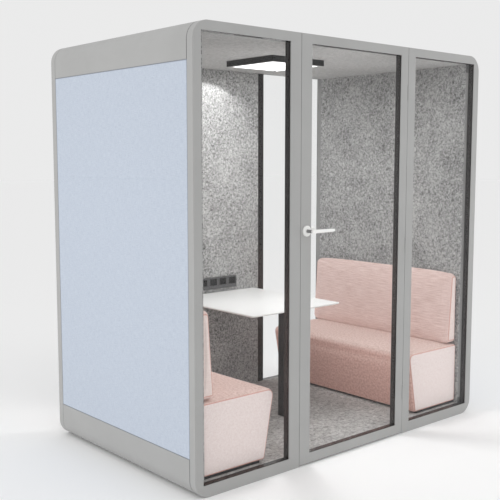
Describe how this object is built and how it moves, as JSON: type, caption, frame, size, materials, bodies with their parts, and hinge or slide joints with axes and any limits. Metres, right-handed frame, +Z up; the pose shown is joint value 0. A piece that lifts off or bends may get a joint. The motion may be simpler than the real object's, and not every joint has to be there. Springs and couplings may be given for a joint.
{
  "type": "acoustic office pod",
  "caption": "Free-standing acoustic meeting pod with a glazed front and rear, a hinged glass door, facing upholstered benches, a table and a ceiling light.",
  "frame": {"origin": "centre of the footprint on the floor, the door lever included", "axes": "+Z up, +X to the right seen from the front, +Y towards the rear wall; the door opens towards -Y"},
  "size_m": [2.275, 1.408, 2.3],
  "materials": {
    "grey_paint": "satin powder coat",
    "grey_frame": "satin powder coat",
    "blue_fabric": "tight plain weave over board",
    "grey_felt": "pressed mottled felt",
    "pale_felt": "pressed felt",
    "grey_carpet": "short loop pile",
    "board": "plain board",
    "black_gloss": "polished",
    "clear_glass": "clear",
    "white_paint": "satin",
    "white_top": "white laminate",
    "steel": "brushed",
    "dark_paint": "matt",
    "dark_plastic": "matt",
    "black_plastic": "matt",
    "diffuser": "opal",
    "pink_fabric": "soft woven"
  },
  "bodies": {
    "pod": {"roof_shell": "grey_paint", "base_shell": "grey_paint", "front_left_frame": "grey_frame", "front_right_frame": "grey_frame", "rear_left_frame": "grey_frame", "rear_right_frame": "grey_frame", "rear_centre_frame": "grey_frame", "hinge_jamb_bottom": "grey_frame", "hinge_jamb_middle": "grey_frame", "hinge_jamb_top": "grey_frame", "left_fabric_lower": "blue_fabric", "left_fabric_middle": "blue_fabric", "left_fabric_upper": "blue_fabric", "right_fabric_lower": "blue_fabric", "right_fabric_middle": "blue_fabric", "right_fabric_upper": "blue_fabric", "rear_fabric_panel": "blue_fabric", "left_felt_panel": "grey_felt", "right_felt_panel": "grey_felt", "rear_felt_panel": "grey_felt", "ceiling_panel": "pale_felt", "carpet": "grey_carpet", "left_wall_core": "board", "right_wall_core": "board", "floor_deck": "board", "front_left_liner": "black_gloss", "front_right_liner": "black_gloss", "rear_left_liner": "black_gloss", "rear_right_liner": "black_gloss", "front_left_glass": "clear_glass", "front_right_glass": "clear_glass", "rear_left_glass": "clear_glass", "rear_right_glass": "clear_glass", "table_top": "white_top", "strike_plate": "steel", "light_housing": "dark_paint", "table_leg": "dark_paint", "table_rail": "dark_paint", "socket_face": "dark_plastic", "socket_back": "black_plastic", "light_sensor": "black_plastic", "left_plinth": "black_plastic", "right_plinth": "black_plastic", "light_diffuser": "diffuser", "left_seat": "pink_fabric", "right_seat": "pink_fabric", "left_backrest": "pink_fabric", "right_backrest": "pink_fabric"},
    "door": {"door_frame": "grey_frame", "door_liner": "black_gloss", "door_glass": "clear_glass", "outer_rose": "white_paint", "inner_rose": "white_paint", "hinge_door_bottom": "grey_frame", "hinge_door_middle": "grey_frame", "hinge_door_top": "grey_frame"},
    "lever": {"outer_lever": "white_paint", "inner_lever": "white_paint"},
    "latch": {"latch_bolt": "steel"}
  },
  "joints": [
    {"name": "door_swing", "type": "hinge", "parent": "pod", "child": "door", "pos_m": [0.434, -0.646, 1.15], "axis": [0, 0, 1], "range_deg": [0, 105]},
    {"name": "lever_turn", "type": "hinge", "parent": "door", "child": "lever", "pos_m": [-0.392, -0.646, 1.279], "axis": [0, 1, 0], "range_deg": [0, 40], "stiffness_Nm_per_rad": 4, "springref_deg": -11.46},
    {"name": "latch_slide", "type": "slide", "parent": "door", "child": "latch", "axis": [1, 0, 0], "range_m": [0, 0.008]}
  ],
  "couplings": [
    {"joint": "latch_slide", "follows": "lever_turn", "m_per_rad": 0.01145}
  ]
}
